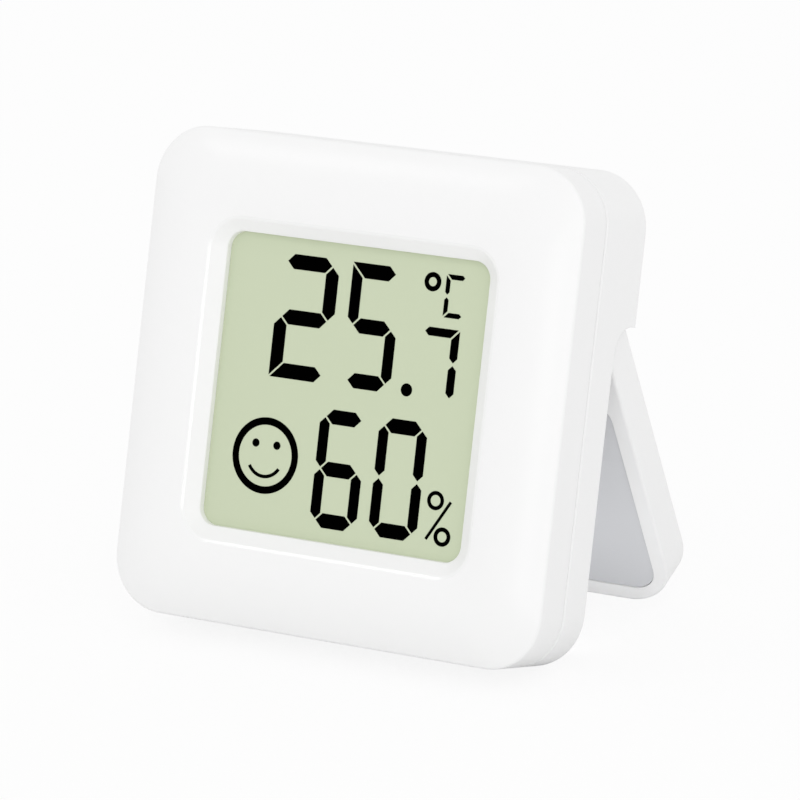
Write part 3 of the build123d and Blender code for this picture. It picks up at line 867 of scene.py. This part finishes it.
class SENSOR_OT_stand(bpy.types.Operator):
    """Stand: folding plate with barrel and axles, grey panel and magnets"""

    bl_idname = "sensor.stand"
    bl_label = "Stand"

    def panel(self, s):
        """The grey panel, a little below the rim round it."""
        bm = bmesh.new()
        outline = rounded_loop(
            bm, s.panel_width, s.panel_height, s.panel_corner, s.panel_rear, s.corner_steps
        )
        bmesh.ops.contextual_create(bm, geom=outline)
        bevel_edges(bm, thicken(bm, s.panel_thickness), s.panel_edge, s.edge_steps)
        bmesh.ops.translate(bm, vec=(0, -s.panel_drop, 0), verts=bm.verts)
        # Folded, the stand lies level with the face. At rest it is open by its whole travel
        fold = joint("stand_fold")
        pivot = Matrix.Translation(FACE.inverted() @ Vector(fold["pos_m"]))
        opened = Matrix.Rotation(math.radians(fold["range_deg"][1]), 4, "X")
        bmesh.ops.transform(bm, matrix=pivot @ opened, verts=bm.verts)
        piece = put(bm, "grey_panel", "stand")
        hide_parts("stand_inlay")
        return piece

    def execute(self, context):
        s = context.scene.sensor_stand
        white_node(context, "stand_frame")
        # Calendered polycarbonate sheet, light grey: smoother than the moulding, softly shiny
        sheet = solid(
            "panel_sheet",
            s.panel,
            roughness=s.sheen,
            patch=15,
            amount=0.01,
            grain=0.5,
            height=0.002,
            strength=0.05,
        )
        dress(self.panel(s), sheet)
        # Nickel plate over sintered magnet: dull bright metal
        plate = solid(
            "magnet_plate",
            linear("B5B3AE"),
            roughness=0.25,
            metallic=1,
            patch=3,
            amount=0.04,
            grain=0.2,
            height=0.004,
            strength=0.1,
        )
        dress(frame["nodes"]["stand_magnets"], plate)
        return {"FINISHED"}


class SENSOR_OT_battery_door(bpy.types.Operator):
    """Battery door: round door with a coin slot"""

    bl_idname = "sensor.battery_door"
    bl_label = "Battery door"

    def execute(self, context):
        white_node(context, "battery_door")
        return {"FINISHED"}


class SENSOR_OT_button(bpy.types.Operator):
    """Button: pairing button in the upper back"""

    bl_idname = "sensor.button"
    bl_label = "Button"

    def execute(self, context):
        white_node(context, "button_cap")
        return {"FINISHED"}


class SENSOR_OT_electronics(bpy.types.Operator):
    """Electronics: boards, chips, switch plunger, shield, crystal, capacitors and screws"""

    bl_idname = "sensor.electronics"
    bl_label = "Electronics"

    def execute(self, context):
        nodes = frame["nodes"]
        mask = circuit_mask()
        dress(nodes["main_board"], mask)
        dress(nodes["radio_board"], mask)
        # Transfer-moulded epoxy: matt charcoal with a sandy grain from the mould
        epoxy = solid(
            "chip_epoxy",
            linear("1E1E1F"),
            roughness=0.55,
            patch=1,
            amount=0.08,
            grain=0.06,
            height=0.006,
            strength=0.2,
        )
        for node in ("display_driver", "humidity_sensor", "switch_plunger"):
            dress(nodes[node], epoxy)
        # Tinned steel, rolled: bright with faint lines along the strip
        tin = striped(
            "tinned_steel",
            linear("A9A9A6"),
            linear("C4C4C1"),
            pitch=0.4,
            roughness=0.3,
            metallic=1,
        )
        dress(nodes["radio_shield"], tin)
        dress(nodes["crystal"], tin)
        # Fired barium titanate: smooth tan
        ceramic = solid(
            "fired_ceramic",
            linear("A8865F"),
            roughness=0.4,
            patch=0.8,
            amount=0.06,
            grain=0.05,
            height=0.002,
            strength=0.1,
        )
        dress(nodes["board_capacitors"], ceramic)
        # Zinc-plated steel: bluish grey with cloudy patches
        zinc = solid(
            "zinc_plate",
            linear("A3A6A8"),
            roughness=0.35,
            metallic=1,
            patch=1.5,
            amount=0.08,
            grain=0.1,
            height=0.003,
            strength=0.1,
        )
        dress(nodes["board_screws"], zinc)
        return {"FINISHED"}


class SENSOR_OT_coin_cell(bpy.types.Operator):
    """Coin cell: can, cap, gasket, electrodes and the two contacts"""

    bl_idname = "sensor.coin_cell"
    bl_label = "Coin cell"

    def execute(self, context):
        nodes = frame["nodes"]
        # Nickel-plated stainless steel, drawn: bright, with draw marks too small to see singly
        steel = solid(
            "cell_steel",
            linear("C6C5C1"),
            roughness=0.28,
            metallic=1,
            patch=5,
            amount=0.03,
            grain=0.15,
            height=0.003,
            strength=0.15,
        )
        dress(nodes["cell_can"], steel)
        dress(nodes["cell_cap"], steel)
        # Polypropylene seal: milky and waxy
        seal = solid(
            "cell_seal",
            linear("D8D7D0"),
            roughness=0.5,
            patch=2,
            amount=0.02,
            grain=0.2,
            height=0.004,
            strength=0.05,
        )
        dress(nodes["cell_gasket"], seal)
        # Pressed manganese dioxide powder: dull black with a crumbly grain
        powder = solid(
            "pressed_powder",
            linear("1B1A19"),
            roughness=0.95,
            patch=1,
            amount=0.15,
            grain=0.1,
            height=0.03,
            strength=0.5,
        )
        dress(nodes["cell_electrodes"], powder)
        # Phosphor bronze strip, nickel plated: warm bright metal with rolling lines
        spring = striped(
            "plated_bronze",
            linear("B8AE96"),
            linear("CFC6AE"),
            pitch=0.3,
            roughness=0.25,
            metallic=1,
        )
        dress(nodes["negative_contact"], spring)
        dress(nodes["positive_contact"], spring)
        return {"FINISHED"}


# The studio's square lamps, in metres: the way from the camera's aim to each, its side and the
# setting of its power. The two glints stand where the bevel round the recess mirrors them into the
# camera.
LAMPS = (
    ("key", (0.45, -0.8, 0.75), 0.6, "key"),
    ("low", (0.7, -0.7, 0.03), 0.9, "low"),
    ("front glint", (0.192, -0.955, 0.21), 0.12, "glint"),
    ("upper glint", (-0.511, -0.511, 0.685), 0.12, "glint"),
)
# The small lamp under the body: its size, how far it stands to the right of the middle, behind the
# heel and above the floor, and the way it faces
UNDER_SIZE = (46 * MM, 7 * MM)
UNDER_RIGHT, UNDER_BEHIND, UNDER_HEIGHT = 3 * MM, 4.2 * MM, 5 * MM
UNDER_WAY = Vector((0, 0.99, 0.1))
# The floor's paper: linear colour and the size of its soft patches in metres
PAPER, PAPER_PATCH = (0.92, 0.92, 0.92), 0.4
# The camera's picture width in millimetres, and the nearest and farthest that it sees in metres
PICTURE_WIDTH, NEAREST, FARTHEST = 36, 0.01, 20


def lamp(context, name, place, aim, size, energy):
    """A soft lamp of a width and a height that looks at a point."""
    light = bpy.data.lights.new(name, "AREA")
    light.shape = "RECTANGLE"
    light.size, light.size_y = size
    light.energy = energy
    lamp_object = bpy.data.objects.new(name, light)
    lamp_object.location = place
    lamp_object.rotation_euler = (aim - place).to_track_quat("-Z", "Y").to_euler()
    context.scene.collection.objects.link(lamp_object)


class SENSOR_OT_stage(bpy.types.Operator):
    """Stage: floor, studio light and camera"""

    bl_idname = "sensor.stage"
    bl_label = "Stage"

    def add_floor(self, context, s):
        """A matt white sweep of paper. What the camera sees of it stays near white."""
        bm = bmesh.new()
        bmesh.ops.create_grid(bm, x_segments=1, y_segments=1, size=s.floor_size / 2)
        mesh = bpy.data.meshes.new("floor")
        bm.to_mesh(mesh)
        bm.free()
        floor = bpy.data.objects.new("floor", mesh)
        context.scene.collection.objects.link(floor)
        material, tree, output, place = new_material("studio_floor")
        matt = add_node(tree, "ShaderNodeBsdfDiffuse")
        tint = spread(tree, place, PAPER_PATCH, PAPER, amount=0.005)
        tree.links.new(tint, matt.inputs["Color"])
        glow = add_node(tree, "ShaderNodeEmission", color=(1, 1, 1, 1), strength=1)
        path = tree.nodes.new("ShaderNodeLightPath")
        amount = add_node(tree, "ShaderNodeMath", "seen glow", operation="MULTIPLY")
        tree.links.new(path.outputs["Is Camera Ray"], amount.inputs[0])
        amount.inputs[1].default_value = s.floor_glow
        mix = add_node(tree, "ShaderNodeMixShader")
        tree.links.new(amount.outputs["Value"], mix.inputs[0])
        tree.links.new(matt.outputs["BSDF"], mix.inputs[1])
        tree.links.new(glow.outputs["Emission"], mix.inputs[2])
        tree.links.new(mix.outputs["Shader"], output.inputs["Surface"])
        floor.data.materials.append(material)

    def add_world(self, context, s):
        """Even light from all round, and plain white where it is seen, mirrored or seen through."""
        world = bpy.data.worlds.new("studio")
        context.scene.world = world
        world.use_nodes = True
        tree = world.node_tree
        tree.nodes.clear()
        output = tree.nodes.new("ShaderNodeOutputWorld")
        path = tree.nodes.new("ShaderNodeLightPath")
        seen = add_node(tree, "ShaderNodeMath", "seen", operation="MAXIMUM")
        tree.links.new(path.outputs["Is Camera Ray"], seen.inputs[0])
        tree.links.new(path.outputs["Is Glossy Ray"], seen.inputs[1])
        clear = add_node(tree, "ShaderNodeMath", "seen or through", operation="MAXIMUM")
        tree.links.new(seen.outputs["Value"], clear.inputs[0])
        tree.links.new(path.outputs["Is Transmission Ray"], clear.inputs[1])
        level = add_node(
            tree,
            "ShaderNodeMapRange",
            "strength",
            value=clear.outputs["Value"],
            to_min=s.room,
            to_max=1,
        )
        white = add_node(
            tree, "ShaderNodeBackground", color=(1, 1, 1, 1), strength=level.outputs["Result"]
        )
        tree.links.new(white.outputs["Background"], output.inputs["Surface"])

    def add_lamps(self, context, s):
        """The studio's lamps, and one for the shade between the body and its open stand."""
        aim = FACE @ Vector(s.aim)
        for name, way, side, setting in LAMPS:
            lamp(context, name, aim + Vector(way), aim, (side, side), getattr(s, setting))
        # It stands where the folded stand would enclose it, so it lights nothing then
        half = context.scene.sensor_shell.side / 2
        heel = FACE @ Vector((0, -half, -s.heel_depth))
        under = Vector((UNDER_RIGHT, heel.y + UNDER_BEHIND, UNDER_HEIGHT))
        lamp(context, "under", under, under + UNDER_WAY, UNDER_SIZE, s.under)

    def add_camera(self, context, s):
        """The camera, at the photograph's angle to the face."""
        camera = bpy.data.cameras.new("camera")
        camera.lens = s.lens
        camera.sensor_width = PICTURE_WIDTH
        camera.clip_start, camera.clip_end = NEAREST, FARTHEST
        view = bpy.data.objects.new("camera", camera)
        across = math.cos(s.elevation)
        away = Vector(
            (math.sin(s.azimuth) * across, math.sin(s.elevation), math.cos(s.azimuth) * across)
        )
        right = Vector((0, 1, 0)).cross(away).normalized()
        level = Matrix((right, away.cross(right), away)).transposed()
        turn = level @ Matrix.Rotation(s.roll, 3, "Z")
        place = Matrix.Translation(Vector(s.aim) + away * s.camera_distance)
        view.matrix_world = FACE @ place @ turn.to_4x4()
        context.scene.collection.objects.link(view)
        context.scene.camera = view

    def execute(self, context):
        s = context.scene.sensor_studio
        self.add_floor(context, s)
        self.add_world(context, s)
        self.add_lamps(context, s)
        self.add_camera(context, s)
        context.scene.view_settings.view_transform = "Standard"
        return {"FINISHED"}


OPERATORS = (
    SENSOR_OT_front_cover,
    SENSOR_OT_rear_cover,
    SENSOR_OT_display,
    SENSOR_OT_figures,
    SENSOR_OT_stand,
    SENSOR_OT_battery_door,
    SENSOR_OT_button,
    SENSOR_OT_electronics,
    SENSOR_OT_coin_cell,
    SENSOR_OT_stage,
)
SETTINGS = {
    "sensor_shell": ShellSettings,
    "sensor_display": DisplaySettings,
    "sensor_stand": StandSettings,
    "sensor_studio": StudioSettings,
}


class SENSOR_PT_panel(bpy.types.Panel):
    """The settings, and a button for each piece"""

    bl_idname = "SENSOR_PT_panel"
    bl_label = "Desk sensor"
    bl_space_type = "VIEW_3D"
    bl_region_type = "UI"
    bl_category = "Sensor"

    def draw(self, context):
        for operator in OPERATORS:
            self.layout.operator(operator.bl_idname)
        for name, group in SETTINGS.items():
            box = self.layout.box()
            for setting in group.__annotations__:
                box.prop(getattr(context.scene, name), setting)


def register():
    for cls in (*SETTINGS.values(), *OPERATORS, SENSOR_PT_panel):
        bpy.utils.register_class(cls)
    for name, group in SETTINGS.items():
        setattr(bpy.types.Scene, name, bpy.props.PointerProperty(type=group))


def unregister():
    for name in SETTINGS:
        delattr(bpy.types.Scene, name)
    for cls in reversed((*SETTINGS.values(), *OPERATORS, SENSOR_PT_panel)):
        bpy.utils.unregister_class(cls)


def main():
    register()
    bpy.ops.sensor.front_cover()
    bpy.ops.sensor.rear_cover()
    bpy.ops.sensor.display()
    bpy.ops.sensor.figures()
    bpy.ops.sensor.stand()
    bpy.ops.sensor.battery_door()
    bpy.ops.sensor.button()
    bpy.ops.sensor.electronics()
    bpy.ops.sensor.coin_cell()
    bpy.ops.sensor.stage()


if __name__ == "__main__":
    main()
